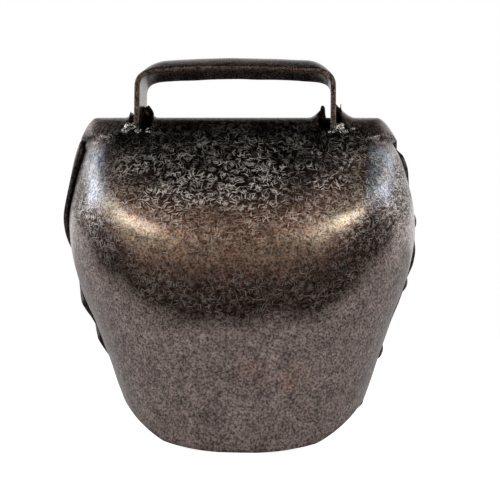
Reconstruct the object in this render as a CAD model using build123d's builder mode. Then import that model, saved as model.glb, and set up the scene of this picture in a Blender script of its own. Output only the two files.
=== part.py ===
from build123d import *
import math
import os

# Cowbell folded from one steel sheet, with a flat strap loop and a hung clapper.
# Millimetres. X is the width, Y the depth (front at -Y), Z is up. Z = 0 is the plane the rim stands on.

# Sheet and overall size
sheet = 1.2                     # thickness of the folded sheet
half_width = 39.2               # widest half width of the front half of the sheet
ridge_z = 73.8                  # top of the fold
ridge_radius = 7.0              # outside radius of the fold
roof_angle = 47.0               # slope of the two roof faces
crest_softness = 12             # higher is a tighter bend where roof and front meet
lap_gap = 0.1                   # air between the lapped flanges
hood_z = 68.4                   # lower edge of the hood at each end of the fold
hood_from = 28.0                # where the hood starts, from the middle
fold_step = 0.15                # the back half stands this much proud of the front along the fold

# Outline as shares of the widest half width, and the depth, both against height
width_shares = [(-6, .55), (0, .603), (9.6, .686), (14.1, .727), (18.7, .768), (23.2, .811), (27.7, .855),
                (32.3, .906), (36.8, .946), (41.3, .975), (45.9, .993), (50.4, 1.0), (55, .987), (59.5, .965),
                (64, .935), (68.5, .886), (70.4, .862), (72.2, .832), (73.3, .80), (ridge_z, .77)]
half_depths = [(-6, 20.1), (0, 21.2), (10, 22.9), (20, 24.8), (30, 26.7), (40, 28.3), (48, 29.0), (52, 28.6),
               (56, 26.8), (60, 23.2), (65, 17.4), (70, 11.2), (ridge_z, 6.4)]

# The bell leans a little: the X of its middle against height
middle_line = [(-6, 1.5), (0, 1.26), (20, .55), (34, .05), (46, -.1), (56, -.1), (64, -.55), (70, -1.2), (ridge_z, -1.5)]

# Side laps: the front flange runs back under the back flange, whose cut edge wanders
front_lap = 12.5
back_edge_left = [(-1.5, 67.6), (-4.6, 66.6), (-5.4, 62), (-5.2, 56), (-3.6, 51), (-0.5, 47), (4.0, 43.5),
                  (5.2, 38), (3.0, 34.5), (-0.4, 31), (2.6, 28), (3.2, 26.5), (0.0, 23), (4.2, 19), (6.0, 12), (6.0, -10)]
back_edge_right = [(3.0, 67.6), (3.2, 66.8), (1.6, 65.4), (2.2, 62.6), (5.4, 59), (6.4, 52), (6.2, 46.5), (4.3, 43.8),
                   (4.4, 40.8), (6.4, 38), (6.6, 24), (6.6, -10)]
tongue_thick = 0.9

# Rim, bowed up towards the side seams. It stands on a short flat at the front and one at the back.
rim_flat = 5.0                  # half length of each flat
rim_across = [(9, .35), (13.5, 1.05), (16.5, 1.75), (20.4, 3.0), (24, 5.0), (30, 9.4)]   # height against X
rim_along = [(14.1, 3.0), (11.6, 4.9), (8.9, 6.9), (6.2, 8.8), (3, 10.3)]               # height against Y
rim_bow = 10.8                  # height at the seams

# Strap loop
strap_x = -1.5                  # the strap was set a little off the middle
strap_width = 12.0
strap_thick = 1.2
leg_pitch = 44.2                # between the middles of the two legs
strap_top = 87.5
strap_arch = 1.0                # rise of the bar over its length
strap_crown = 3.0               # rise of the bar over its width
strap_corner = 7.0
tail_end_z = 61.0

# Slots torn through the fold for the legs
slot_length = strap_width + 1.2
slot_inner = 3.4                # from the leg's middle towards the bell's middle
slot_outer = 1.7
slot_open = 6.0                 # how far back from its front end the slot is torn wide

# Clapper hanging
bar_wire = 2.0
bar_z = 65.5
bar_kink = 1.6
ring_wire = 1.5
ring_inner = 2.9                # inside radius of the hanger ring
rod_wire = 2.4
eye_inner = 1.9
bob_diameter = 12.6
bob_z = 14.5
run_fit = 0.2                   # air between a moving wire and what it hangs on

# Side seams
rivet_shank = 2.4
rivet_head = 4.2
rivet_rise = 0.9
rivet_seat = 0.42               # the curve of the flange under the inner head
rivet_heights = [21.0, 36.6, 51.0]
rivet_y = 9.0

points_round = 44


def read(table, at):
    """Reads a height table with a smooth curve through its points."""
    n = len(table)
    i = max(0, min(n - 2, sum(1 for z, _ in table if z <= at) - 1))
    (z0, v0), (z1, v1) = table[i], table[i + 1]

    def slope(k):
        a, b = table[max(0, k - 1)], table[min(n - 1, k + 1)]
        return (b[1] - a[1]) / (b[0] - a[0])

    h = z1 - z0
    t = (at - z0) / h
    return (v0 * (2 * t**3 - 3 * t**2 + 1) + h * slope(i) * (t**3 - 2 * t**2 + t)
            + v1 * (3 * t**2 - 2 * t**3) + h * slope(i + 1) * (t**3 - t**2))


def steepness(table, at, size):
    """How much longer a horizontal step is than the same step square to the surface."""
    rate = size * (read(table, at + 0.5) - read(table, at - 0.5))
    return math.sqrt(1 + min(rate * rate, 2.2))


def roof_half_depth(z, inset):
    """Half the depth between the two roof faces, rounded at the fold."""
    r = ridge_radius - inset
    top = ridge_z - inset
    a = math.radians(roof_angle)
    drop = max(0.05, top - z)
    if drop < r * (1 - math.cos(a)):
        return math.sqrt(r * r - (r - drop) ** 2)
    return r * math.sin(a) + (drop - r * (1 - math.cos(a))) / math.tan(a)


def outline(z, inset, growth, lift=0, count=points_round):
    """One level of the bell: an oval cut off softly by the two roof faces."""
    level = min(z, ridge_z)
    steep = min(z, ridge_z - 0.6)
    a = half_width * read(width_shares, level) + (growth - inset) * steepness(width_shares, steep, half_width)
    b = read(half_depths, level) + (growth - inset) * steepness(half_depths, steep, 1)
    w = roof_half_depth(z, inset - lift)
    middle = read(middle_line, level)
    points = []
    for i in range(count):
        turn = 2 * math.pi * i / count
        x, y = a * math.cos(turn), b * math.sin(turn)
        over = abs(y) / w
        share = (1 + over ** crest_softness) ** (-1 / crest_softness)
        points.append((middle + x * share, y * share))
    return points


def bell_form(inset, growth, lift=0):
    """The bell as a solid block. The sheet is what lies between two such blocks."""
    top = ridge_z - inset + lift
    levels = [-5, 2, 9, 16, 22, 28, 34, 39.5, 44.5, 48.5, 52, 55.5, 59, 62.5, 65.5, 68]
    levels += [top - 3.6, top - 2.2, top - 1.1, top - 0.35, top]
    with BuildPart() as block:
        for z in levels:
            with BuildSketch(Plane.XY.offset(z)):
                with BuildLine():
                    Spline(*outline(z, inset, growth, lift), periodic=True)
                make_face()
        loft()
    return block.part


def slab(points, x_from, x_to):
    """A flat shape drawn in Y and Z and run along X."""
    with BuildPart() as block:
        with BuildSketch(Plane.YZ.offset(x_from)):
            with BuildLine():
                Polyline(*points, close=True)
            make_face()
        extrude(amount=x_to - x_from)
    return block.part


def strap_block(inset, bottom, margin):
    """The strap's outer or inner shape: flat legs, and a bar that is arched and crowned."""
    half = leg_pitch / 2 + strap_thick / 2 - inset
    reach = strap_width / 2 + margin
    with BuildPart() as block:
        for y in (-reach, -reach / 2, 0, reach / 2, reach):
            top = strap_top - inset - strap_crown * (y / (strap_width / 2)) ** 2
            with BuildSketch(Plane.XZ.offset(-y)) as section:
                with BuildLine():
                    Polyline((-half, top - strap_arch), (-half, bottom), (half, bottom), (half, top - strap_arch))
                    ThreePointArc((half, top - strap_arch), (0, top), (-half, top - strap_arch))
                make_face()
                fillet(section.vertices().group_by(Axis.Y)[-1], radius=strap_corner - inset)
        loft()
    return block.part


def surface_point(z, y, side, growth):
    """Where the skin of the bell is at this height and depth, on the side given."""
    ring = [p for p in outline(z, 0, growth, count=720) if p[0] * side > 0]
    ring.sort(key=lambda p: p[1])
    for p, q in zip(ring, ring[1:]):
        if p[1] <= y <= q[1]:
            part = (y - p[1]) / (q[1] - p[1])
            return Vector(p[0] + part * (q[0] - p[0]), y, z)


def surface_plane(z, y, side, growth):
    """A workplane lying on the skin, its Z pointing outward."""
    along_y = surface_point(z, y + 0.5, side, growth) - surface_point(z, y - 0.5, side, growth)
    along_z = surface_point(z + 0.5, y, side, growth) - surface_point(z - 0.5, y, side, growth)
    out = along_y.cross(along_z)
    out = out * (1 if out.X * side > 0 else -1)
    return Plane(origin=surface_point(z, y, side, growth), z_dir=out.normalized(), x_dir=along_z.normalized())


legs = [(side, strap_x + side * leg_pitch / 2) for side in (-1, 1)]

# The strap, with rounded tails and a hole through them for the crossbar
with BuildPart() as handle_strap:
    with Locations((strap_x, 0, 0)):
        add(strap_block(0, tail_end_z, 0))
        add(strap_block(strap_thick, tail_end_z - 1, 1), mode=Mode.SUBTRACT)
    with BuildSketch(Plane.YZ) as side_view:
        with Locations((0, (strap_top + 2 + tail_end_z) / 2)):
            Rectangle(strap_width, strap_top + 2 - tail_end_z)
        fillet(side_view.vertices().group_by(Axis.Y)[0], radius=3.0)
        with Locations((0, bar_z)):
            Circle(bar_wire / 2 + 0.1, mode=Mode.SUBTRACT)
    extrude(amount=leg_pitch, both=True, mode=Mode.INTERSECT)

# The sheet: a front half, and a back half one sheet bigger whose flanges lie over the front's
back_growth = sheet + lap_gap
front_shell = bell_form(0, 0) - bell_form(sheet, 0)
back_shell = bell_form(0, back_growth, fold_step) - bell_form(sheet, back_growth, fold_step)

far = 60
hood_middle = read(middle_line, ridge_z)
above_hood = [(-far, hood_z), (-far, far * 2), (far, far * 2), (far, hood_z)]
hood_ends = slab(above_hood, -far, hood_middle - hood_from) + slab(above_hood, hood_middle + hood_from, far)
front_zone = slab([(-far, -10), (-far, far * 2), (0, far * 2), (0, hood_z), (2.5, hood_z - 2), (6.5, 61),
                   (front_lap, 54), (front_lap, -10)], -far, far) - hood_ends
back_zone = hood_ends
for side, edge in ((-1, back_edge_left), (1, back_edge_right)):
    back_zone = back_zone + slab(edge + [(far, -10), (far, far * 2), (0, far * 2), (0, hood_z)],
                                 min(0, side * far), max(0, side * far))

# Two cutters shape the rim: one curved along X for the front and back, one along Y for the sides
with BuildPart() as rim_cut:
    with BuildSketch(Plane.XZ.offset(-far)):
        with BuildLine():
            right = [(rim_flat, 0)] + rim_across
            left = [(-x, z) for x, z in reversed(right)]
            Spline(*right, tangents=[(1, 0), (1, 0.75)])
            Spline(*left, tangents=[(1, -0.75), (1, 0)])
            Polyline(left[-1], right[0])
            Polyline(right[-1], (far, rim_across[-1][1]), (far, -20), (-far, -20), (-far, rim_across[-1][1]), left[0])
        make_face()
    extrude(amount=2 * far)
    with BuildSketch(Plane.YZ.offset(-far)):
        with BuildLine():
            arch = [(-16.6, 1.2)] + [(-y, z) for y, z in rim_along] + [(0, rim_bow)] + rim_along[::-1] + [(16.6, 1.2)]
            Spline(*arch)
            Polyline(arch[-1], (18.6, 0), (far, 0), (far, -20), (-far, -20), (-far, 0), (-18.6, 0), arch[0])
        make_face()
    extrude(amount=2 * far)

# Torn tongues of the sheet beside each leg, the inner one upright and the outer one bent towards the leg
with BuildPart() as tongues:
    for side, x in legs:
        inner_x = x - side * slot_inner
        outer_x = x + side * (slot_outer + 2.9)
        for foot, lean, tall, long in ((inner_x, side * 10, 5.2, 8.4), (outer_x, -side * 26, 4.6, 8.4)):
            turn = math.radians(lean)
            with BuildSketch(Plane(origin=(foot, 0, ridge_z - 1.3), x_dir=(0, 1, 0),
                                   z_dir=(math.cos(turn), 0, -math.sin(turn)))) as tongue:
                with Locations((0, tall / 2)):
                    Rectangle(long, tall)
                fillet(tongue.vertices().group_by(Axis.Y)[-1], radius=tall * 0.55)
            extrude(amount=tongue_thick / 2, both=True)

# Everything that is cut out of the sheet
with BuildPart() as cuts:
    add(rim_cut.part)
    for side, x in legs:
        with BuildSketch(Plane.XY.offset(66)) as slot:
            with Locations((x + side * (slot_outer - slot_inner) / 2, (slot_open - slot_length) / 2)):
                Rectangle(slot_outer + slot_inner, slot_open)
            fillet(slot.vertices(), radius=0.9)
        extrude(amount=ridge_z - 0.6 - 66)
        with Locations((x, 0, 72)):
            Box(strap_thick + 0.3, strap_width + 0.4, 14)
        for z in rivet_heights:
            with Locations(surface_plane(z, rivet_y, side, back_growth)):
                Cylinder(rivet_shank / 2 + 0.04, 6 * sheet)

front_half = front_shell & front_zone
back_half = back_shell & back_zone
with BuildPart() as body_sheet:
    add(front_half + back_half)
    add(tongues.part)
    add(cuts.part, mode=Mode.SUBTRACT)

# Rivets through both flanges, a domed head outside and a flat one inside
rivets = []
grip = 2 * sheet + lap_gap
for side, word in ((-1, "left"), (1, "right")):
    for number, z in enumerate(rivet_heights, 1):
        with BuildPart() as rivet:
            low = (Align.CENTER, Align.CENTER, Align.MIN)
            with Locations((0, 0, 0.08)):
                Cylinder(rivet_head / 2, rivet_rise, align=low)
            fillet(rivet.edges().group_by(Axis.Z)[-1], radius=rivet_rise * 0.85)
            with Locations((0, 0, -grip - rivet_seat)):
                Cylinder(rivet_shank / 2, grip + rivet_seat + 0.08, align=low)
            with Locations((0, 0, -grip - rivet_seat - rivet_rise * 0.7)):
                Cylinder(rivet_head * 0.44, rivet_rise * 0.7, align=low)
        placed = surface_plane(z, rivet_y, side, back_growth).location * rivet.part
        rivets.append((f"seam_rivet_{word}_{number}", placed))

# Braze laid over the slot's outer gap beside each leg
brazes = []
skin = bell_form(0, back_growth, fold_step)
for side, x in legs:
    with BuildPart() as bead:
        with Locations((x + side * (strap_thick / 2 + 0.8), -6.5, 70.5)):
            Sphere(1.6)
        add(handle_strap.part, mode=Mode.SUBTRACT)
        add(skin, mode=Mode.SUBTRACT)
    brazes.append(("left_strap_braze" if side < 0 else "right_strap_braze", bead.part))

# The wire that joins the two tails, with a dip for the hanger ring
with BuildPart() as clapper_crossbar:
    tip = leg_pitch / 2 + strap_thick / 2 + 1.0
    with BuildLine(Plane.XZ.move(Location((strap_x, 0, 0)))) as run:
        FilletPolyline((-tip, bar_z), (-4.8, bar_z), (-2.3, bar_z - bar_kink), (2.3, bar_z - bar_kink),
                       (4.8, bar_z), (tip, bar_z), radius=1.4)
    with BuildSketch(Plane(origin=run.line @ 0, z_dir=run.line % 0)):
        Circle(bar_wire / 2)
    sweep()
    for side, x in legs:
        with Locations(Location((x + side * (strap_thick / 2 + 0.55), 0, bar_z), (0, 90, 0))):
            Cylinder(bar_wire / 2 + 0.7, 0.8)

# The ring, threaded on the crossbar, and the clapper, hung from the ring by its eye
bar_low = bar_z - bar_kink
ring_radius = ring_inner + ring_wire / 2
ring_z = bar_low + bar_wire / 2 + run_fit - ring_inner
with BuildPart() as hanger_ring:
    with Locations(Location((strap_x, 0, ring_z), (0, 90, 0))):
        Torus(ring_radius, ring_wire / 2)

eye_radius = eye_inner + rod_wire / 2
pivot_z = ring_z - ring_radius
eye_z = pivot_z + ring_wire / 2 + run_fit - eye_inner
with BuildPart() as clapper_rod:
    with Locations(Location((strap_x, 0, eye_z), (90, 0, 0))):
        Torus(eye_radius, rod_wire / 2)
    rod_top = eye_z - eye_radius
    rod_foot = bob_z - bob_diameter / 2 - 0.9
    with Locations((strap_x, 0, rod_foot)):
        Cylinder(rod_wire / 2, rod_top - rod_foot, align=(Align.CENTER, Align.CENTER, Align.MIN))

with BuildPart() as clapper_bob:
    with Locations((strap_x, 0, bob_z)):
        Sphere(bob_diameter / 2)
        Cylinder(rod_wire / 2, bob_diameter * 2, mode=Mode.SUBTRACT)

# The pieces, set so that Z runs up through the middle of the footprint
pieces = [("body_sheet", body_sheet.part), ("handle_strap", handle_strap.part)] + rivets + brazes
pieces += [("clapper_crossbar", clapper_crossbar.part), ("hanger_ring", hanger_ring.part),
           ("clapper_rod", clapper_rod.part), ("clapper_bob", clapper_bob.part)]
boxes = [piece.bounding_box() for _, piece in pieces]
middle_x = (min(box.min.X for box in boxes) + max(box.max.X for box in boxes)) / 2
middle_y = (min(box.min.Y for box in boxes) + max(box.max.Y for box in boxes)) / 2
os.makedirs("parts", exist_ok=True)
for name, piece in pieces:
    placed = Location((-middle_x, -middle_y, 0)) * piece
    placed.label = name
    export_step(placed, f"parts/{name}.step")
    print(name, round(placed.volume, 1), len(placed.solids()), placed.is_valid)
print("hinges at x", strap_x - middle_x, "y", -middle_y, "ring z", bar_low, "clapper z", pivot_z)
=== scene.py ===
# %% [markdown]
# A small cowbell is one sheet of steel, folded over at the top and pressed round at the sides. A flat strap is pushed
# through two torn slots as a loop, and a clapper hangs inside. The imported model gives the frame: where each piece is,
# and how the clapper swings. Here each piece gets the shape and the finish that the eye sees.

import math

import bmesh
import bpy
from mathutils import Matrix, Vector, noise


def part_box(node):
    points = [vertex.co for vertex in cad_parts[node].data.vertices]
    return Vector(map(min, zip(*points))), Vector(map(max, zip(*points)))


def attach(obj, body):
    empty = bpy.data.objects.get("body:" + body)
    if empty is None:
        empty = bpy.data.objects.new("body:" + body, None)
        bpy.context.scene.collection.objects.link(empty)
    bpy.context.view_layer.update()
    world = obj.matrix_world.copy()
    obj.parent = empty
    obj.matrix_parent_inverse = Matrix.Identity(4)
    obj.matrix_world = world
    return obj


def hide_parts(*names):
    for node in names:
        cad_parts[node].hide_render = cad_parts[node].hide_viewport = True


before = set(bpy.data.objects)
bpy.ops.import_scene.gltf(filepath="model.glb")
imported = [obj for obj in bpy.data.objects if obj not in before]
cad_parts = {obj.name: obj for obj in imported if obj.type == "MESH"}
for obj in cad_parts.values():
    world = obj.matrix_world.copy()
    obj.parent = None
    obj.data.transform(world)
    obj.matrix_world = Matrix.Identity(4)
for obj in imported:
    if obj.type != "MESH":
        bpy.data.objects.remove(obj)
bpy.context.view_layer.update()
MM = 0.001
strap_low, strap_high = (Vector(c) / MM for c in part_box("handle_strap"))
strap_middle = (strap_low + strap_high) / 2
bell_x = strap_middle.x + 1.5
bell_y = strap_middle.y
print("nodes:", len(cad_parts), "bell axis at", round(bell_x, 3), round(bell_y, 3))


# %% [markdown]
# Every piece is made in a bmesh and becomes an object at the origin, with its place in its mesh. One helper does that,
# so that each later cell can be about its own piece. Sizes are worked in millimetres and brought to metres here.

# %% A helper that turns a bmesh into a piece on its body
def finish_piece(name, bm, body, material=None, smooth=True, turn_out=True):
    bmesh.ops.remove_doubles(bm, verts=bm.verts, dist=0.0005)
    if turn_out:
        bmesh.ops.recalc_face_normals(bm, faces=bm.faces)
    bmesh.ops.translate(bm, vec=(bell_x, bell_y, 0), verts=bm.verts)
    bmesh.ops.scale(bm, vec=(MM, MM, MM), verts=bm.verts)
    mesh = bpy.data.meshes.new(name)
    bm.to_mesh(mesh)
    bm.free()
    for face in mesh.polygons:
        face.use_smooth = smooth
    piece = bpy.data.objects.new(name, mesh)
    bpy.context.scene.collection.objects.link(piece)
    if material:
        mesh.materials.append(material)
    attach(piece, body)
    print(name, len(mesh.polygons), "faces")
    return piece


# %% [markdown]
# The bell's form is an oval at every height, cut off softly by the two roof faces that meet at the fold. Three short
# tables say how wide and how deep the oval is, and how far its middle leans. A form could also be sculpted or pulled
# from a cube, but tables keep it the same each time, and they can be read off a real bell with a ruler.

# %% The sizes of the bell
SHEET = 1.2
HALF_WIDTH = 39.2
RIDGE_Z = 73.8
RIDGE_RADIUS = 7.0
ROOF_ANGLE = math.radians(47)
LAP = 1.3
HOOD_Z = 68.4
STRAP_X = -1.5
LEG_X = 22.1
width_shares = [(-6, .55), (0, .603), (9.6, .686), (14.1, .727), (18.7, .768), (23.2, .811), (27.7, .855),
                (32.3, .906), (36.8, .946), (41.3, .975), (45.9, .993), (50.4, 1.0), (55, .987), (59.5, .965),
                (64, .935), (68.5, .886), (70.4, .862), (72.2, .832), (73.3, .80), (RIDGE_Z, .77)]
half_depths = [(-6, 20.1), (0, 21.2), (10, 22.9), (20, 24.8), (30, 26.7), (40, 28.3), (48, 29.0), (52, 28.6),
               (56, 26.8), (60, 23.2), (65, 17.4), (70, 11.2), (RIDGE_Z, 6.4)]
middle_line = [(-6, 1.5), (0, 1.26), (20, .55), (34, .05), (46, -.1), (56, -.1), (64, -.55), (70, -1.2),
               (RIDGE_Z, -1.5)]
print("the bell is", 2 * HALF_WIDTH, "mm wide and", RIDGE_Z, "mm high at the fold")


# %% [markdown]
# A smooth curve is read through each table, so that the sheet has no kinks where one entry ends and the next begins.
# It is the cubic that a curve with free handles draws between two points. A second reader goes straight from entry to
# entry, for edges that a hand has cut.

# %% Read the tables
def read(table, at):
    """The value of a table at a height, on a smooth curve through its entries."""
    n = len(table)
    i = max(0, min(n - 2, sum(1 for z, _ in table if z <= at) - 1))
    (z0, v0), (z1, v1) = table[i], table[i + 1]

    def slope(k):
        a, b = table[max(0, k - 1)], table[min(n - 1, k + 1)]
        return (b[1] - a[1]) / (b[0] - a[0])

    h = z1 - z0
    t = (at - z0) / h
    return (v0 * (2 * t**3 - 3 * t**2 + 1) + h * slope(i) * (t**3 - 2 * t**2 + t)
            + v1 * (3 * t**2 - 2 * t**3) + h * slope(i + 1) * (t**3 - t**2))


def straight(table, at):
    """The value of a table on straight lines between its entries."""
    for (z0, v0), (z1, v1) in zip(table, table[1:]):
        if at <= z1:
            return v0 + (v1 - v0) * (at - z0) / (z1 - z0)
    return table[-1][1]


def between(value, low, high):
    """0 below low, 1 above high, and even steps between them."""
    return max(0.0, min(1.0, (value - low) / (high - low)))


print("half depth at 50 mm:", round(read(half_depths, 50), 2))


# %% [markdown]
# The roof is two flat faces that meet in a rounded fold. A point on the bell's skin is found by its height and by how
# far it is turned round the bell. The oval gives the point, and the roof then draws it in where the roof is narrower.

# %% A point on the skin
STEEPEST_SQUARED = 2.2


def roof_half_depth(z):
    """How far the roof reaches from the fold's plane at height z."""
    drop = max(0.0, RIDGE_Z - z)
    bend = RIDGE_RADIUS * (1 - math.cos(ROOF_ANGLE))
    if drop < bend:
        return math.sqrt(max(0, RIDGE_RADIUS**2 - (RIDGE_RADIUS - drop) ** 2))
    return RIDGE_RADIUS * math.sin(ROOF_ANGLE) + (drop - bend) / math.tan(ROOF_ANGLE)


def slant(table, level, size=1.0):
    """How much wider a wall of a given thickness measures on a slope than on an upright."""
    change = size * (read(table, level - 0.4) - read(table, level - 1.4))
    return math.sqrt(1 + min(change**2, STEEPEST_SQUARED))


def level_sizes(z, growth):
    """Half width, half depth and the roof's half depth at height z, for a skin grown by that much."""
    level = min(z, RIDGE_Z)
    return (HALF_WIDTH * read(width_shares, level) + growth * slant(width_shares, level, HALF_WIDTH),
            read(half_depths, level) + growth * slant(half_depths, level), max(roof_half_depth(z), 0.05))


def on_form(z, turn, sizes):
    """The point of the bell's skin at height z, turned that far round from +X."""
    a, b, w = sizes
    x, y = a * math.cos(turn), b * math.sin(turn)
    share = (1 + (abs(y) / w) ** 12) ** (-1 / 12)
    return Vector((x * share, y * share, z))


def turn_at(share_of_width, sizes):
    """The turn at which the skin is this share of the half width from the middle."""
    low, high = 0.0, math.pi / 2
    for _ in range(18):
        middle = (low + high) / 2
        if on_form(0, middle, sizes).x > share_of_width * sizes[0]:
            low = middle
        else:
            high = middle
    return (low + high) / 2


print("half width and half depth at 50 mm:", [round(v, 2) for v in level_sizes(50, 0)[:2]])

# %% [markdown]
# The sheet's outline was cut by hand. The rim is arched, higher at the sides than in front, so a table gives its
# height from the sides to the middle. At each side the front flange runs back inside the back flange. The back flange's
# edge wanders, so it has a table of its own at each side, of how far forward it reaches at each height.

# %% The rim's height and the flanges' edges
rim_heights = [(0, 10.8), (.08, 10.49), (.15, 10.09), (.22, 9.36), (.297, 8.43), (.36, 7.47), (.425, 6.47),
               (.49, 5.46), (.55, 4.53), (.61, 3.6), (.673, 2.66), (.74, 1.7), (.8, 1.27), (.871, .78), (.91, .49),
               (.947, .23), (.985, 0), (1, 0)]
front_laps = [(-20, 12.5), (54, 12.5), (61, 6.5), (66.4, 2.5), (HOOD_Z, 0), (90, 0)]
back_edge_left = [(-20, 6), (12, 6), (19, 4.2), (23, 0), (26.5, 3.2), (28, 2.6), (31, -.4), (34.5, 3), (38, 5.2),
                  (43.5, 4), (47, -.5), (51, -3.6), (56, -5.2), (62, -5.4), (66.6, -4.6), (67.6, -1.5), (HOOD_Z, 0),
                  (90, 0)]
back_edge_right = [(-20, 6.6), (24, 6.6), (38, 6.4), (40.8, 4.4), (43.8, 4.3), (46.5, 6.2), (52, 6.4), (59, 5.4),
                   (62.6, 2.2), (65.4, 1.6), (66.8, 3.2), (67.6, 3), (HOOD_Z, 0), (90, 0)]


def flange_turn(z, reach, growth):
    """How far past the side, in radians, a flange that reaches this far in Y goes."""
    b = read(half_depths, min(z, RIDGE_Z)) + growth
    return math.asin(max(-0.9, min(0.9, reach / b)))


front_reach = straight(front_laps, 30)
print("front flange reaches", round(math.degrees(flange_turn(30, front_reach, 0)), 1), "degrees past the side")

# %% [markdown]
# The sheet itself is modelled as the maker starts it: as one flat rectangle of faces. Its middle line becomes the
# fold, its two short edges the rim, and its long edges the side flanges. It is laid out flat first, because a flat map
# of it is kept for the finish: scratches then run evenly over the whole sheet.

# %% Lay out the flat sheet
ACROSS = 168
UP = 92
TOP_ROWS = 9
MAP_WIDTH, MAP_HEIGHT = 0.060, 0.080
sheet_bm = bmesh.new()
bmesh.ops.create_grid(sheet_bm, x_segments=ACROSS, y_segments=2 * UP, size=1)
flat = sheet_bm.loops.layers.uv.new("flat")
for face in sheet_bm.faces:
    for loop in face.loops:
        loop[flat].uv = (loop.vert.co.x * MAP_WIDTH, loop.vert.co.y * MAP_HEIGHT)
print("flat sheet has", len(sheet_bm.faces), "faces")


# %% [markdown]
# The rows of faces climb in even steps up the side and then in even turns over the fold, so the fold stays round. Two
# marks of the making are added to the smooth form: hollows and swellings from pressing by hand, and the sheet that the
# punch dragged up beside each strap leg.

# %% Rows, dents and dragged edges
def row_height(step, rim_z):
    """Height of a row: even steps up the side, then even turns over the fold."""
    bend = RIDGE_RADIUS * (1 - math.cos(ROOF_ANGLE))
    if step <= UP - TOP_ROWS:
        return rim_z + (RIDGE_Z - bend - rim_z) * step / (UP - TOP_ROWS)
    angle = ROOF_ANGLE * (UP - step) / TOP_ROWS
    return RIDGE_Z - RIDGE_RADIUS * (1 - math.cos(angle))


def uneven(p):
    """Small hollows and swellings left by pressing the sheet by hand."""
    slow = noise.noise(Vector((p.x * 0.045 + 3.1, p.y * 0.045, p.z * 0.055)))
    fine = noise.noise(Vector((p.x * 0.14, p.y * 0.14 + 7.7, p.z * 0.15)))
    return 0.34 * slow + 0.10 * fine


# How tall the dragged sheet stands, where that starts from the leg, and how far it reaches: by side and by place.
dragged = {("right", "outer"): (3.9, 0.0, 4.8), ("left", "outer"): (1.9, 0.0, 3.4),
           ("right", "inner"): (2.8, 2.0, 3.4), ("left", "inner"): (3.0, 0.6, 3.6)}


def pushed_up(p):
    """The punch pulled the fold up towards both sides of each leg, and left a hollow in front of it."""
    from_leg = abs(p.x - STRAP_X) - LEG_X
    tall, start, reach = dragged["right" if p.x > 0 else "left", "outer" if from_leg > 0 else "inner"]
    past = abs(from_leg) - start
    rise = tall * max(0.0, 1 - past / reach) ** 1.5 if past > -0.15 else 0.0
    rise *= between(p.z, 69.5, 73)
    hollow = 0.7 * math.exp(-((from_leg + 0.5) / 4.0) ** 2 - ((p.z - 65.8) / 2.6) ** 2) if p.y < 0 else 0.0
    return Vector((0, 0.7 * hollow, rise - 0.7 * hollow))


print("rows end at", round(row_height(UP, 0), 2), "mm, at the fold")


# %% [markdown]
# Each point of the flat sheet is now carried to its place. The height of its row and its turn round the bell depend on
# each other, because the rim is arched, so they are settled in a few rounds. The middle two thirds of the sheet's width
# go round to the knee at the side, and the rest is the flange past it. The back half is bigger than the front by just
# over the sheet's thickness, and the front joins it under the hood at the top.

# %% Fold the sheet onto the form
ARC = 0.66
KNEE = math.pi / 8


def place_on_form(u, v):
    """Where a point of the flat sheet goes: u is across it and v along it, each from -1 to 1."""
    back = v > 0
    step = round((1 - abs(v)) * UP)
    side = 1 if u > 0 else -1
    inner = min(1.0, abs(u) / ARC)
    z, turn = 20.0, 0.0
    for _ in range(4):
        growth = LAP if back else LAP * between(z, HOOD_Z - 0.25, HOOD_Z + 0.25)
        sizes = level_sizes(z, growth)
        turn = turn_at(math.sin(inner * (math.pi / 2 - KNEE)), sizes)
        if abs(u) > ARC:
            edge = back_edge_left if side < 0 else back_edge_right
            reach = -straight(edge, z) if back else straight(front_laps, z)
            turn -= (turn + flange_turn(z, reach, growth)) * (abs(u) - ARC) / (1 - ARC)
        rim_z = straight(rim_heights, abs(math.sin(turn)))
        z = row_height(step, rim_z)
    p = on_form(z, turn, level_sizes(z, growth))
    p.x = p.x * side + read(middle_line, p.z)
    if not back:
        p.y = -p.y
    if step == UP:
        p.y = 0.0
        p.z = RIDGE_Z
    out = Vector((p.x / HALF_WIDTH**2, p.y / 800, max(0, p.z - 45) / 2500)).normalized()
    p += out * uneven(p) * min(1.0, max(0.0, (72 - p.z) / 8))
    return p + pushed_up(p)


for vert in sheet_bm.verts:
    vert.co = place_on_form(round(vert.co.x, 6), round(vert.co.y, 6))
print("folded sheet's lowest point is at", round(min(v.co.z for v in sheet_bm.verts), 3))

# %% [markdown]
# The folded sheet now gets its thickness inwards, and its flanges, rim and hood ends show a real cut edge, which has a
# place for a finish of its own. A Solidify modifier does it, and its result is kept as the mesh, because the slots are
# cut through that wall next.

# %% Give the sheet its thickness
def keep_modifiers(piece):
    """The piece's mesh becomes what its modifiers make of it."""
    bpy.context.view_layer.update()
    made = piece.evaluated_get(bpy.context.evaluated_depsgraph_get())
    mesh = bpy.data.meshes.new_from_object(made)
    piece.modifiers.clear()
    piece.data = mesh


sheet_bm.normal_update()
body_sheet = finish_piece("bell_sheet", sheet_bm, "bell", turn_out=False)
centre_face = min(body_sheet.data.polygons, key=lambda f: (f.center - Vector((0, -0.028, 0.03))).length)
if centre_face.normal.y > 0:
    body_sheet.data.flip_normals()
SHEET_FACE, CUT_EDGE = 0, 1
for _ in (SHEET_FACE, CUT_EDGE):
    body_sheet.data.materials.append(None)
wall = body_sheet.modifiers.new("wall", "SOLIDIFY")
wall.material_offset_rim = CUT_EDGE
wall.thickness = SHEET * MM
wall.offset = -1
wall.use_even_offset = False
keep_modifiers(body_sheet)
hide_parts("body_sheet")
print("wall is", len(body_sheet.data.polygons), "faces")

# %% [markdown]
# Each slot was punched from above and torn wider towards the middle of the bell. A cutter with a ragged outline is
# pushed through the fold, and the sheet keeps what is left.

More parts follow.
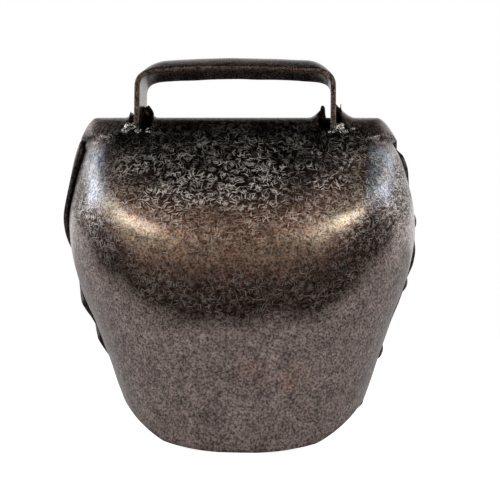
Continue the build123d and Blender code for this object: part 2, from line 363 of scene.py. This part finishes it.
# %% Tear the two slots
# The slot's outline at the left leg: how far toward the bell's middle, and how far back.
slot_outline = [(-1.7, -6.7), (-0.2, -7.0), (1.2, -6.6), (2.5, -6.9), (3.3, -5.6), (3.5, -3.6), (3.2, -1.9),
                (2.2, -0.7), (0.62, -0.3), (0.62, 3.0), (0.62, 6.3), (-0.62, 6.3), (-0.62, 2.0), (-0.62, -2.4),
                (-1.6, -3.6), (-2.3, -5.0), (-1.9, -6.0)]
CUT_FROM, CUT_TALL = 66, 14


def slot_cutter(side):
    """A block with the slot's outline, standing through the fold."""
    bm = bmesh.new()
    outline = [bm.verts.new((STRAP_X + side * (LEG_X - inward), y, CUT_FROM)) for inward, y in slot_outline]
    made = bmesh.ops.extrude_face_region(bm, geom=[bm.faces.new(outline)])
    raised = [g for g in made["geom"] if isinstance(g, bmesh.types.BMVert)]
    bmesh.ops.translate(bm, vec=(0, 0, CUT_TALL), verts=raised)
    return finish_piece("slot_cutter", bm, "bell")


cutters = [slot_cutter(-1), slot_cutter(1)]
for cutter in cutters:
    cut = body_sheet.modifiers.new("tear", "BOOLEAN")
    cut.operation = "DIFFERENCE"
    cut.solver = "MANIFOLD"
    cut.object = cutter
keep_modifiers(body_sheet)
for cutter in cutters:
    bpy.data.objects.remove(cutter)
print("torn sheet is", len(body_sheet.data.polygons), "faces")


# %% [markdown]
# Where the punch broke through, tongues of sheet stand up beside each leg: a rounded one on the inner side, and a low
# crumpled one against the leg on the outer side. Each starts as a small grid, is rounded at its end, curled and dented,
# and gets a wall. A tongue could be part of the sheet's own grid, but a piece of its own can curl past upright.

# %% Raise the torn tongues
def tongue(name, foot, base_z, tall, long, lean, curl, twist, seed, ragged=0.5):
    """A lobe of sheet that stands on the fold, leans toward its leg and narrows toward its end."""
    bm = bmesh.new()
    bmesh.ops.create_grid(bm, x_segments=18, y_segments=12, size=0.5)
    side = 1 if foot > STRAP_X else -1
    for v in bm.verts:
        along, up = v.co.x, v.co.y + 0.5
        width = long * (1 - 0.38 * up**3)
        edge = noise.noise(Vector((along * 5 + seed, up * 3, seed))) * ragged * up
        height = tall * up * (1 - 0.35 * abs(2 * along) ** 3) + edge
        angle = lean + curl * up
        drift = noise.noise(Vector((along * 4, up * 3 + seed, seed * 2))) * 0.35 * (0.3 + up)
        inward = height * math.sin(angle) + drift - along * width * math.sin(twist)
        v.co = Vector((foot - side * inward, along * width * math.cos(twist) - 0.4,
                       base_z - abs(along) ** 2 * 3.2 * (1 - up) + height * math.cos(angle)))
    bmesh.ops.solidify(bm, geom=bm.faces[:], thickness=0.85)
    bmesh.ops.smooth_vert(bm, verts=bm.verts, factor=0.3, use_axis_x=True, use_axis_y=True, use_axis_z=True)
    return finish_piece(name, bm, "bell")


# For each side: the inner tongue's distance from its leg and its twist, then the outer tongue's height and its base.
tongue_sizes = {-1: (1.9, 0.6, 1.6, 73.4), 1: (2.5, 0.3, 2.6, 74.4)}
tongues = []
for side, word in ((-1, "left"), (1, "right")):
    middle = STRAP_X + side * LEG_X
    inward, twist, tall, base = tongue_sizes[side]
    tongues.append(tongue(f"torn_tongue_inner_{word}", middle - side * inward, 72.4, 4.3, 6.4, 0.1, -0.15, twist,
                          3 + side, 0.15))
    tongues.append(tongue(f"torn_tongue_outer_{word}", middle + side * 2.1, base, tall, 8.0, 0.45, -0.3, 0.0,
                          8 + side, 0.4))
print("tongues:", [t.name for t in tongues])

# %% [markdown]
# The strap is a flat strip bent to a loop. Its bar was pressed to a crown across its width, so the hand feels no edge,
# and its legs stay flat. A grid is laid along the loop and dropped at its sides where the crown is.

# %% Bend the strap
STRAP_WIDTH, STRAP_THICK, STRAP_CORNER = 12.0, 1.2, 7.0
STRAP_TOP, STRAP_ARCH, STRAP_CROWN, TAIL_END = 87.5, 0.5, 3.0, 61.0


def strap_line(at):
    """The outside line of the loop from tail to tail, and how much it is bar and not leg."""
    half = LEG_X + STRAP_THICK / 2
    top = STRAP_TOP - STRAP_ARCH
    leg = top - STRAP_CORNER - TAIL_END
    bend = STRAP_CORNER * math.pi / 2
    bar = half - STRAP_CORNER
    total = leg + bend + bar
    d = (1 - abs(at)) * total
    side = 1 if at > 0 else -1
    if d < leg:
        x, z, crown = half, TAIL_END + d, 0.0
    elif d < leg + bend:
        a = (d - leg) / STRAP_CORNER
        x, z = half - STRAP_CORNER * (1 - math.cos(a)), top - STRAP_CORNER + STRAP_CORNER * math.sin(a)
        crown = math.sin(a) ** 2
    else:
        x = total - d
        z = top + STRAP_ARCH * (1 - (x / bar) ** 2)
        crown = 1.0
    return Vector((side * x, 0, z)), crown


print("strap runs from", TAIL_END, "to", round(strap_line(0)[0].z, 2), "mm")

# %% [markdown]
# The grid now follows that line. The strap's wall and its slightly rounded edges are modifiers, so that both can still
# be changed, and the cut edge has a place for its own finish. Slow noise wears the bar a little.

# %% Form the strap and give it its wall
strap_bm = bmesh.new()
bmesh.ops.create_grid(strap_bm, x_segments=150, y_segments=14, size=1)
for v in strap_bm.verts:
    along, across = v.co.x, v.co.y
    p, crown = strap_line(along)
    wear = 0.12 * noise.noise(Vector((along * 9, across * 1.5, 2.2)))
    v.co = Vector((STRAP_X + p.x, across * STRAP_WIDTH / 2, p.z - STRAP_CROWN * across**2 * crown + wear * crown))
strap_bm.normal_update()
top_face = max(strap_bm.faces, key=lambda f: f.calc_center_median().z)
if top_face.normal.z < 0:
    bmesh.ops.reverse_faces(strap_bm, faces=strap_bm.faces)
handle_strap = finish_piece("strap_loop", strap_bm, "bell", turn_out=False)
strap_wall = handle_strap.modifiers.new("wall", "SOLIDIFY")
strap_wall.thickness = STRAP_THICK * MM
strap_wall.offset = -1
strap_edge = handle_strap.modifiers.new("edge", "BEVEL")
strap_edge.width = 0.16 * MM
strap_edge.segments = 2
strap_edge.material = CUT_EDGE
strap_edge.limit_method = "ANGLE"
strap_wall.material_offset_rim = CUT_EDGE
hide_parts("handle_strap")
print("strap reaches", round(max(v.co.z for v in handle_strap.data.vertices) / MM, 2), "mm")

# %% [markdown]
# Braze was run in beside each leg and left lumpy silver flecks. Each lump is a small icosphere pushed about with noise
# and flattened onto the sheet, because molten metal has no clean shape.

# %% Run in the braze
def braze_lump(name, spots, seed):
    """Lumps beside one leg: each spot is how far from the bell's middle, how far back, how high, and how big."""
    bm = bmesh.new()
    for x, y, z, r in spots:
        made = bmesh.ops.create_icosphere(bm, subdivisions=4, radius=r)
        for v in made["verts"]:
            out = v.co.normalized()
            v.co += out * r * 0.45 * noise.noise(out * 1.9 + Vector((seed + x, y, z)))
            v.co = Vector((v.co.x + x, v.co.y * 0.75 + y, v.co.z * 0.8 + z))
    return finish_piece(name, bm, "bell")


left_leg, right_leg = STRAP_X - LEG_X, STRAP_X + LEG_X
braze_left = braze_lump("braze_left", [(left_leg - 1.3, -6.2, 70.7, 1.35), (left_leg - 2.4, -6.6, 69.7, 0.9),
                                       (left_leg + 0.5, -7.2, 69.6, 0.7)], 1.0)
braze_right = braze_lump("braze_right", [(right_leg + 1.3, -6.2, 70.7, 1.3), (right_leg + 2.6, -6.7, 69.6, 0.7),
                                         (right_leg + 4.4, -5.9, 70.3, 0.6)], 5.0)
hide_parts("left_strap_braze")
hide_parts("right_strap_braze")


# %% [markdown]
# The front lip of each slot was turned up where the punch went in, and its fresh edge took the braze. It is a thin
# strip whose upper edge is torn by noise of two sizes: one for the teeth, and a finer one for their jagged sides.

# %% Turn up the slots' front lips
def torn_lip(name, x_from, x_to, seed):
    bm = bmesh.new()
    bmesh.ops.create_grid(bm, x_segments=22, y_segments=5, size=0.5)
    for v in bm.verts:
        along, up = v.co.x + 0.5, v.co.y + 0.5
        teeth = noise.noise(Vector((along * 6, seed, 0.3)))
        height = up * max(0.15, 0.5 + teeth + 0.5 * noise.noise(Vector((along * 17, seed, up)))) * 1.1
        y = -7.0 - 0.25 * math.sin(along * 7 + seed) + 0.4 * height
        v.co = Vector((x_from + (x_to - x_from) * along, y, 69.55 + height))
    bmesh.ops.solidify(bm, geom=bm.faces[:], thickness=0.28)
    return finish_piece(name, bm, "bell")


lips = [torn_lip("torn_lip_left", left_leg + 0.3, left_leg + 3.6, 2.0),
        torn_lip("torn_lip_right", right_leg - 1.2, right_leg + 1.8, 6.0)]
print("lips:", [lip.name for lip in lips])

# %% [markdown]
# The finish is steel plated with copper, darkened, then tumbled: rubbed to brass where hands and cloth reach, and
# covered with fine short scratches. Over that, light and shade are painted into the colour: painted shade on the roof
# and in creases, a painted sheen on the swell, a painted highlight along the rubbed brass, and painted reflections.
# An image could be painted for it, but a finish built from nodes stays sharp at any distance. A few helpers keep its
# steps readable.

# %% Small helpers for materials
def new_finish(name):
    finish = bpy.data.materials.new(name)
    finish.use_nodes = True
    tree = finish.node_tree
    return finish, tree, tree.nodes["Principled BSDF"]


def add_node(tree, kind, inputs=None, **settings):
    """A node with its settings, whose inputs are plain values or other nodes' outputs."""
    node = tree.nodes.new(kind)
    for key, value in settings.items():
        setattr(node, key, value)
    for key, value in (inputs or {}).items():
        if isinstance(value, bpy.types.NodeSocket):
            tree.links.new(value, node.inputs[key])
        else:
            node.inputs[key].default_value = value
    return node


def reckon(tree, operation, first, second, clamp=False):
    """One step of arithmetic on two values."""
    return add_node(tree, "ShaderNodeMath", {0: first, 1: second}, operation=operation, use_clamp=clamp).outputs[0]


def speckle(tree, place, scale, detail, harshness=0.5):
    """Noise with about this many spots to the metre."""
    inputs = {"Vector": place, "Scale": scale, "Detail": detail, "Roughness": harshness}
    return add_node(tree, "ShaderNodeTexNoise", inputs).outputs["Fac"]


def ramp(tree, value, stops):
    node = add_node(tree, "ShaderNodeValToRGB", {"Fac": value})
    for end, (at, grey) in zip(node.color_ramp.elements, stops):
        end.position = at
        end.color = (grey, grey, grey, 1)
    return node.outputs["Color"]


def mix_colour(tree, share, first, second, blend="MIX"):
    node = add_node(tree, "ShaderNodeMix", data_type="RGBA", blend_type=blend)
    for socket, value in ((node.inputs[0], share), (node.inputs[6], first), (node.inputs[7], second)):
        if isinstance(value, bpy.types.NodeSocket):
            tree.links.new(value, socket)
        else:
            socket.default_value = value
    return node.outputs[2]


print("helpers for nodes are ready")


# %% [markdown]
# Tumbling with loose parts leaves short bent hairs that run every way. One layer of them is a pattern of long narrow
# cells, with a blob in some of the cells, and a little noise bends it. Layers turned different ways lie over each
# other. On the sheet they are laid on the flat map, so that they keep their length wherever the sheet bends.

# %% Scratches
# How many layers there are, how long and how thin a cell is, and how far noise bends it, in metres.
HAIR_LAYERS, HAIR_LONG, HAIR_THIN, HAIR_BEND = 10, 0.0020, 0.00027, 0.0006


def scratches(tree, place, flat, keep):
    """How much of a scratch there is at each place; keep is the share of cells that hold one."""
    bend = add_node(tree, "ShaderNodeTexNoise", {"Vector": place, "Scale": 420.0, "Detail": 1.0}).outputs["Color"]
    shift = add_node(tree, "ShaderNodeVectorMath", {0: bend, 1: (HAIR_BEND,) * 3}, operation="MULTIPLY").outputs[0]
    bent = add_node(tree, "ShaderNodeVectorMath", {0: place, 1: shift}, operation="ADD").outputs[0]
    total = None
    for n in range(HAIR_LAYERS):
        turn = math.pi * n / HAIR_LAYERS + 0.37 * n
        turned = add_node(tree, "ShaderNodeMapping", {
            "Vector": bent, "Location": (0.013 * n, 0.007 * n, 0.011 * n),
            "Rotation": (0, 0, turn) if flat else (0.3 * n, turn, 0.21 * n)}).outputs[0]
        narrow = add_node(tree, "ShaderNodeMapping", {
            "Vector": turned, "Scale": (1 / HAIR_LONG, 1 / HAIR_THIN, 1 / HAIR_THIN)}).outputs[0]
        cells = add_node(tree, "ShaderNodeTexVoronoi", {"Vector": narrow, "Scale": 1.0},
                         voronoi_dimensions="2D" if flat else "3D")
        blob = ramp(tree, cells.outputs["Distance"], [(0.25, 1), (0.30, 0)])
        pick = add_node(tree, "ShaderNodeSeparateColor", {"Color": cells.outputs["Color"]})
        some = reckon(tree, "GREATER_THAN", pick.outputs[0], 1 - keep)
        depth = reckon(tree, "POWER", pick.outputs[1], 1.5)
        one = reckon(tree, "MULTIPLY", blob, reckon(tree, "MULTIPLY", some, depth))
        total = one if total is None else reckon(tree, "MAXIMUM", total, one)
    return total


print("a scratch is about", round(0.55 * HAIR_LONG / MM, 1), "mm long")


# %% [markdown]
# The bell's own zones are read from numbers kept on the sheet's points: where it is rubbed, where shade, sheen and
# reflections are painted, and so on. Fine noise breaks up the copper spots and the rubbed brass, as wear does, and the
# painted cool reflection too. The order matters: what lies on top is mixed in last.

# %% The zones of the sheet
# Each zone's colour, in the order they are laid, and whether fine noise breaks it up. The first is a painted dark
# reflection, the second a painted sheen on the crest, the third painted shade and the fourth a painted pale reflection.
# Then come real copper spots, rubbed brass that also carries a painted highlight, and a painted cool reflection.
zone_colours = [("painted_dark_band", (0.034, 0.019, 0.014, 1), False), ("painted_crest_sheen", (0.32, 0.175, 0.115, 1), False),
                ("painted_shade", (0.024, 0.021, 0.021, 1), False), ("painted_pale_reflection", (0.285, 0.215, 0.200, 1), False),
                ("copper", (0.34, 0.185, 0.13, 1), True), ("rub_and_highlight", (0.34, 0.285, 0.180, 1), True),
                ("painted_cool_reflection", (0.25, 0.285, 0.345, 1), True)]


def add_zones(layer):
    """Lay the zones of wear and painted light over the plain colour, and say where the metal is dull, bare of lacquer,
    or scratched.
    """
    tree, place = layer["tree"], layer["place"]
    worn = ramp(tree, speckle(tree, place, 260.0, 5.0, 0.75), [(0.36, 0.3), (0.60, 1)])

    def zone(name, broken=False):
        value = add_node(tree, "ShaderNodeAttribute", attribute_name=name).outputs["Fac"]
        return reckon(tree, "MULTIPLY", value, worn) if broken else value

    for name, colour, broken in zone_colours:
        layer["colour"] = mix_colour(tree, zone(name, broken), layer["colour"], colour)
    # Under the painted sheen on the crest the metal is less metallic, so that its painted brown shows as a sheen.
    layer["metal"] = reckon(tree, "SUBTRACT", 1.0, reckon(tree, "MULTIPLY", zone("painted_crest_sheen"), 0.45))
    darkest = reckon(tree, "MAXIMUM", zone("painted_dark_band"), zone("painted_shade"))
    clear = reckon(tree, "SUBTRACT", 1.0, darkest, clamp=True)
    layer["lacquer"] = reckon(tree, "MULTIPLY", clear, layer["lacquer"])
    clusters = ramp(tree, speckle(tree, place, 150.0, 3.0), [(0.38, 0.45), (0.56, 1)])
    here = mix_colour(tree, 1.0, zone("hairs"), clusters, "MULTIPLY")
    layer["hair"] = reckon(tree, "MULTIPLY", layer["hair"], here)


print("zones that are mixed over the plain colour:", [name for name, _, _ in zone_colours])


# %% [markdown]
# One function makes every metal on the bell. Two colours are mixed in broad patches, mottles and a fine grain darken
# and lighten them, and the scratches lie on top, less metallic and slightly sunk. Only the colours, the gloss, the
# lacquer and the share of scratches differ from piece to piece. The patches, mottles and grain are solid noise in the
# object's own coordinates, so they have no seam.

# %% The metal finishes
def metal_finish(name, dark, warm, hairs, roughness, hair_keep, coat):
    """Dark plated metal under a thin lacquer."""
    finish, tree, shader = new_finish(name)
    on_sheet = name == "darkened_copper_sheet"
    place = add_node(tree, "ShaderNodeTexCoord").outputs["Object"]
    laid_out = add_node(tree, "ShaderNodeUVMap", uv_map="flat").outputs[0] if on_sheet else place
    mottles = speckle(tree, place, 420.0, 5.0, 0.7)
    patches = ramp(tree, speckle(tree, place, 70.0, 6.0, 0.65), [(0.36, 0), (0.66, 1)])
    layer = {"tree": tree, "place": place, "colour": mix_colour(tree, patches, dark, warm), "metal": 1.0,
             "lacquer": coat, "hair": scratches(tree, laid_out, on_sheet, hair_keep)}
    if on_sheet:
        add_zones(layer)
        tree.links.new(layer["lacquer"], shader.inputs["Coat Weight"])
    else:
        shader.inputs["Coat Weight"].default_value = coat
    shader.inputs["Coat Roughness"].default_value = 0.22
    mottle = ramp(tree, mottles, [(0.34, 0.55), (0.66, 1.28)])
    grain = ramp(tree, speckle(tree, place, 2100.0, 2.0, 0.6), [(0.38, 0.35), (0.62, 1.75)])
    colour = mix_colour(tree, 1.0, mix_colour(tree, 1.0, layer["colour"], mottle, "MULTIPLY"), grain, "MULTIPLY")
    tree.links.new(mix_colour(tree, layer["hair"], colour, hairs), shader.inputs["Base Color"])
    metal = reckon(tree, "SUBTRACT", layer["metal"], layer["hair"], clamp=True)
    tree.links.new(metal, shader.inputs["Metallic"])
    gloss = add_node(tree, "ShaderNodeMapRange", {"Value": mottles, "To Min": roughness - 0.07,
                                                  "To Max": roughness + 0.07}).outputs["Result"]
    tree.links.new(gloss, shader.inputs["Roughness"])
    relief = reckon(tree, "SUBTRACT", speckle(tree, place, 420.0, 4.0), layer["hair"])
    bump = add_node(tree, "ShaderNodeBump", {"Height": relief, "Strength": 0.4, "Distance": 0.00008})
    tree.links.new(bump.outputs["Normal"], shader.inputs["Normal"])
    return finish


# Each finish: its dark and its warm colour, its scratches, and then roughness, share of scratches and lacquer.
bell_finish = metal_finish("darkened_copper_sheet", (0.085, 0.050, 0.038, 1), (0.165, 0.095, 0.066, 1),
                           (1.0, 0.93, 0.86, 1), 0.33, 0.25, 0.6)
strap_finish = metal_finish("darkened_strap", (0.050, 0.042, 0.040, 1), (0.11, 0.085, 0.075, 1),
                            (0.30, 0.25, 0.22, 1), 0.30, 0.25, 0.3)
cut_edge_finish = metal_finish("cut_edge", (0.055, 0.040, 0.034, 1), (0.17, 0.115, 0.090, 1),
                               (0.35, 0.28, 0.24, 1), 0.50, 0.3, 0.1)
# The sheet's own cut edges are near-black: painted shade on edges that lie in shadow.
dark_edge_finish = metal_finish("shaded_cut_edge", (0.024, 0.020, 0.019, 1), (0.07, 0.052, 0.045, 1),
                                (0.2, 0.16, 0.14, 1), 0.45, 0.3, 0.1)
wire_finish = metal_finish("plain_wire", (0.16, 0.14, 0.13, 1), (0.27, 0.24, 0.22, 1),
                           (0.40, 0.37, 0.34, 1), 0.38, 0.3, 0.0)
braze_finish = metal_finish("braze", (0.10, 0.095, 0.09, 1), (0.62, 0.60, 0.56, 1),
                            (0.7, 0.68, 0.64, 1), 0.25, 0.3, 0.0)
print("finishes:", len(bpy.data.materials))

# %% [markdown]
# The zones follow the form. The crest is the line where roof and front swell most: it is rubbed to brass towards its
# two upturned ends, with a painted highlight streak along the same line, and it has a painted brown sheen between them.
# The roof above it is painted dark as shade. Below it lies a painted dark reflection, and below that the sheet is
# painted grey down to the rim, as a pale reflection. Two facets at the shoulders get a painted cool reflection. Weight
# painting could mark all this, but lines worked out from the form keep both sides alike.

# %% Lines and borders of the zones
def bump_at(value, middle, spread):
    """1 at the middle, and fading smoothly away from it on both sides."""
    return math.exp(-((value - middle) / spread) ** 2)


def zone_lines(x, right):
    """Heights of the crest and of the painted dark reflection's top and foot, this far from the bell's middle."""
    tilt = (1.0 if right else -1.0) * between(x, 8, 22)
    return (42.4 + 0.0000135 * x**4 + 0.004 * x**2 + tilt, 40.6 + 0.000012 * x**4 + 0.002 * x**2 + tilt,
            26.4 + 0.0000075 * x**4 + 0.008 * x**2)


def zone_marks(p):
    """How strong each zone is at a point of the sheet."""
    x = abs(p.x - read(middle_line, min(p.z, RIDGE_Z)))
    crest, band_top, band_foot = zone_lines(x, p.x > 0)
    wander = 2.2 * noise.noise(p * 0.11)
    up = p.z - crest
    level = p.z + wander
    ends = min(1.0, (x / 21) ** 2)
    near_leg = between(5.5 - abs(abs(p.x - STRAP_X) - LEG_X), 0, 3) * between(p.z, 70, 73)
    # Near the legs and at the hood ends, the painted shade is lifted and a painted pale reflection is laid there.
    shade_lifted_ends = max(near_leg, between(x, 24, 29) * between(p.z, 69.3, 70.8))
    # Painted shade: the roof above the crest is painted dark as the reflection of the dark room above it, and the
    # hood's crease is painted dark as shade in the crease.
    painted_shade = max(0.9 * between(up, 8, 18), between(p.z, 66.5, 69)) * (1 - 0.6 * shade_lifted_ends)
    crease_shade = 0.95 * bump_at(p.z, 68.2, 1.3) * between(x, 20, 24)
    # Rubbed brass along the crest is real wear, with a painted highlight streak laid along the same line. The fold on
    # the right gets a painted highlight streak over a little real rubbing.
    rub_and_highlight = bump_at(up, 0.5, 2.6) * (0.20 + 0.80 * ends) * (1 - between(p.z, 60, 67))
    rub_and_highlight_fold = 0.9 * (p.y < 0) * bump_at(p.x, 25.6, 1.1) * between(p.z, 47, 52) * between(66.5 - p.z, 0, 3)
    # The facets at the shoulders get a painted cool reflection.
    facet = between(3.4 - abs(x - 30.4 - 0.15 * (p.z - 55)) - 0.3 * wander, 0, 1.2)
    spots = max(bump_at((p - Vector((4, p.y, 17))).length + wander, 0, 3.2),
                bump_at((p - Vector((13, p.y, 15))).length + wander, 0, 3.0))
    # Painted dark reflection: a dark stripe below the crest.
    painted_dark_band = between(band_top + 1.6 - p.z - 0.5 * wander, 0, 3.6)
    return {"rub_and_highlight": max(rub_and_highlight, rub_and_highlight_fold),
            # Painted sheen: brown on the middle of the crest.
            "painted_crest_sheen": bump_at(up, 3.5, 7.5) * (1 - between(x, 20, 29)),
            "painted_shade": max(painted_shade, crease_shade),
            # Painted pale reflection: grey from the dark stripe down to the rim, as the pale floor would show in the
            # metal.
            "painted_pale_reflection": max(between(band_foot + 2.5 - level, 0, 5.5), 0.45 * shade_lifted_ends),
            "painted_dark_band": painted_dark_band * between(level, band_foot - 3, band_foot + 2),
            "painted_cool_reflection": facet * between(level, 51, 55) * between(67.5 - p.z, 0, 2.5) * (1 - shade_lifted_ends),
            "copper": 0.6 * (p.y < 0) * spots,
            "hairs": 0.25 + 0.75 * between(p.z, 42, 52) - 0.70 * between(p.z, 60, 71)}


print("the crest is", round(zone_lines(0, True)[0], 1), "mm high in the middle")


# %% [markdown]
# At the left side the back flange stands away from the sheet, and the gap gets a painted shadow. Each zone is then
# stored as a number on every point of the sheet, where its finish reads it.

# %% Store the zones and give out the finishes
def gap_shadow_at(p):
    """How dark the painted shadow in the gap at the left flange is."""
    if p.x >= -25:
        return 0.0
    height = p.z + 2.2 * noise.noise(p * 0.11)
    across = between(p.y, -7.5, -4.8) * between(4 - p.y, 0, 5)
    return across * between(height, 44, 52) * between(69 - height, 0, 3)


zones = {}
for v in body_sheet.data.vertices:
    p = v.co / MM - Vector((bell_x, bell_y, 0))
    marks, gap_shadow = zone_marks(p), gap_shadow_at(p)
    # In the gap the painted shadow replaces the rubbed brass, the painted reflections and the scratches, and it joins
    # the painted shade.
    for name in ("rub_and_highlight", "painted_cool_reflection", "painted_pale_reflection", "hairs"):
        marks[name] *= 1 - gap_shadow
    marks["painted_shade"] = max(marks["painted_shade"], gap_shadow)
    for name, mark in marks.items():
        zones.setdefault(name, []).append(min(1.0, max(0.0, mark)))
for name, marks in zones.items():
    body_sheet.data.attributes.new(name, "FLOAT", "POINT").data.foreach_set("value", marks)
body_sheet.data.materials[SHEET_FACE] = bell_finish
body_sheet.data.materials[CUT_EDGE] = dark_edge_finish
for piece in tongues:
    piece.data.materials.append(strap_finish)
handle_strap.data.materials.append(strap_finish)
handle_strap.data.materials.append(cut_edge_finish)
for piece in [braze_left, braze_right] + lips:
    piece.data.materials.append(braze_finish)
print("zones", sorted(zones), "on", len(body_sheet.data.vertices), "points")

# %% [markdown]
# The rivets, the crossbar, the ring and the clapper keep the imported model's shapes, which are already what a maker of
# bells would turn or bend. Their triangles are welded by a modifier, so that light runs smoothly over them, and the
# edges that should stay sharp are split again. They get the strap's finish or the wire's.

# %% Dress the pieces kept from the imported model
for name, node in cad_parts.items():
    if name in ("body_sheet", "handle_strap", "left_strap_braze", "right_strap_braze"):
        continue
    weld = node.modifiers.new("weld", "WELD")
    weld.merge_threshold = 0.00001
    for face in node.data.polygons:
        face.use_smooth = True
    edges = node.modifiers.new("edges", "EDGE_SPLIT")
    edges.split_angle = math.radians(40)
    node.data.materials.clear()
    node.data.materials.append(strap_finish if "rivet" in name else wire_finish)
    print("dressed:", name)

# %% [markdown]
# The bell stands on white paper. To the lamps the paper is a pale grey, so that it doesn't wash out the metal from
# below, and a glow that only the eye's rays see makes it white while it keeps the bell's shadow. Seen from below it is
# clear, so that the bell's mouth can be looked into.

# %% The floor
FLOOR_HALF, FLOOR_DROP = 2.0, 0.0001
floor_bm = bmesh.new()
bmesh.ops.create_grid(floor_bm, x_segments=2, y_segments=2, size=FLOOR_HALF)
bmesh.ops.translate(floor_bm, vec=(0, 0, -FLOOR_DROP), verts=floor_bm.verts)
floor_mesh = bpy.data.meshes.new("floor")
floor_bm.to_mesh(floor_mesh)
floor_bm.free()
floor = bpy.data.objects.new("floor", floor_mesh)
bpy.context.scene.collection.objects.link(floor)
paper, paper_tree, paper_shader = new_finish("white_paper")
paper_shader.inputs["Base Color"].default_value = (0.62, 0.62, 0.62, 1)
paper_shader.inputs["Roughness"].default_value = 0.9
eye_ray = add_node(paper_tree, "ShaderNodeLightPath").outputs["Is Camera Ray"]
paper_shader.inputs["Emission Color"].default_value = (1, 1, 1, 1)
paper_tree.links.new(reckon(paper_tree, "MULTIPLY", eye_ray, 0.92), paper_shader.inputs["Emission Strength"])
underside = add_node(paper_tree, "ShaderNodeNewGeometry").outputs["Backfacing"]
clear = add_node(paper_tree, "ShaderNodeBsdfTransparent").outputs[0]
one_sided = add_node(paper_tree, "ShaderNodeMixShader", {0: reckon(paper_tree, "MULTIPLY", eye_ray, underside),
                                                         1: paper_shader.outputs[0], 2: clear})
paper_tree.links.new(one_sided.outputs[0], paper_tree.nodes["Material Output"].inputs["Surface"])
floor_mesh.materials.append(paper)
print("floor is", 2 * FLOOR_HALF, "m wide")

# %% [markdown]
# Polished metal shows what is round it, so the room matters as much as the lamps. It is white behind the bell, and dark
# in front and above, as in a studio where black cloth hangs round the camera. That, together with the shade painted on
# the roof, keeps the roof of the bell dark, and the room keeps its side edges bright. To the eye's own rays the room is
# white all round.

# %% The room
room_world = bpy.data.worlds.new("room")
bpy.context.scene.world = room_world
room_world.use_nodes = True
room = room_world.node_tree
room.nodes.clear()
toward = add_node(room, "ShaderNodeTexCoord").outputs["Generated"]
parts = add_node(room, "ShaderNodeSeparateXYZ", {"Vector": toward})
behind = add_node(room, "ShaderNodeMapRange", {"Value": parts.outputs["Y"], "From Min": -0.15, "From Max": 0.48,
                                               "To Min": 0.06, "To Max": 1.0})
above = add_node(room, "ShaderNodeMapRange", {"Value": parts.outputs["Z"], "From Min": 0.55, "From Max": 0.93,
                                              "To Min": 1.0, "To Max": 0.08})
strength = add_node(room, "ShaderNodeMix", data_type="FLOAT")
room.links.new(add_node(room, "ShaderNodeLightPath").outputs["Is Camera Ray"], strength.inputs[0])
room.links.new(reckon(room, "MULTIPLY", behind.outputs["Result"], above.outputs["Result"]), strength.inputs[2])
strength.inputs[3].default_value = 1.0
background = add_node(room, "ShaderNodeBackground", {"Color": (1, 1, 1, 1), "Strength": strength.outputs[0]})
add_node(room, "ShaderNodeOutputWorld", {"Surface": background.outputs[0]})
print("room has", len(room.nodes), "nodes")


# %% [markdown]
# Two soft lamps stand in front, to the left and to the right. Each draws one light streak on the crest, at the end
# that turns towards it. Two fainter and cooler ones stand at the sides for the facets at the shoulders. Soft boxes are
# large, so each is an area light.

# %% The lamps
def soft_lamp(name, at, toward, width, height, power, colour):
    light = bpy.data.lights.new(name, "AREA")
    light.shape = "RECTANGLE"
    light.size, light.size_y = width, height
    light.energy = power
    light.color = colour
    lamp = bpy.data.objects.new(name, light)
    lamp.location = at
    lamp.rotation_euler = (Vector(toward) - Vector(at)).to_track_quat("-Z", "Y").to_euler()
    bpy.context.scene.collection.objects.link(lamp)


LIT_POINT = (0, 0, 0.045)
WARM, COOL = (1.0, 0.97, 0.92), (0.93, 0.96, 1.0)
soft_lamp("lamp_left", (-0.60, -0.50, 0.40), LIT_POINT, 0.34, 0.34, 2.2, WARM)
soft_lamp("lamp_right", (0.60, -0.50, 0.40), LIT_POINT, 0.34, 0.34, 2.2, WARM)
soft_lamp("side_left", (-0.75, 0.10, 0.35), LIT_POINT, 0.30, 0.60, 1.8, COOL)
soft_lamp("side_right", (0.75, 0.10, 0.35), LIT_POINT, 0.30, 0.60, 1.3, COOL)

# %% [markdown]
# The camera stands low in front, a little to the bell's right, and looks slightly up, with a long lens so that the bell
# keeps its proportions. It is turned by its line of sight and not by hand, and then leaned by just over half a degree.

# %% The camera
camera_data = bpy.data.cameras.new("camera")
camera = bpy.data.objects.new("camera", camera_data)
bpy.context.scene.collection.objects.link(camera)
camera_data.sensor_width = 36
camera_data.lens = 92.2
camera.location = (0.0205 + bell_x * MM, -0.290 + bell_y * MM, 0.0277)
yaw, pitch, roll = math.radians(3.66), math.radians(3.13), math.radians(0.6)
ahead = Vector((-math.sin(yaw) * math.cos(pitch), math.cos(yaw) * math.cos(pitch), math.sin(pitch)))
camera.rotation_euler = (ahead.to_track_quat("-Z", "Y").to_matrix() @ Matrix.Rotation(roll, 3, "Z")).to_euler()
bpy.context.scene.camera = camera
bpy.context.scene.view_settings.view_transform = "Standard"
print("camera is", round(camera.location.length, 3), "m from the frame's origin")
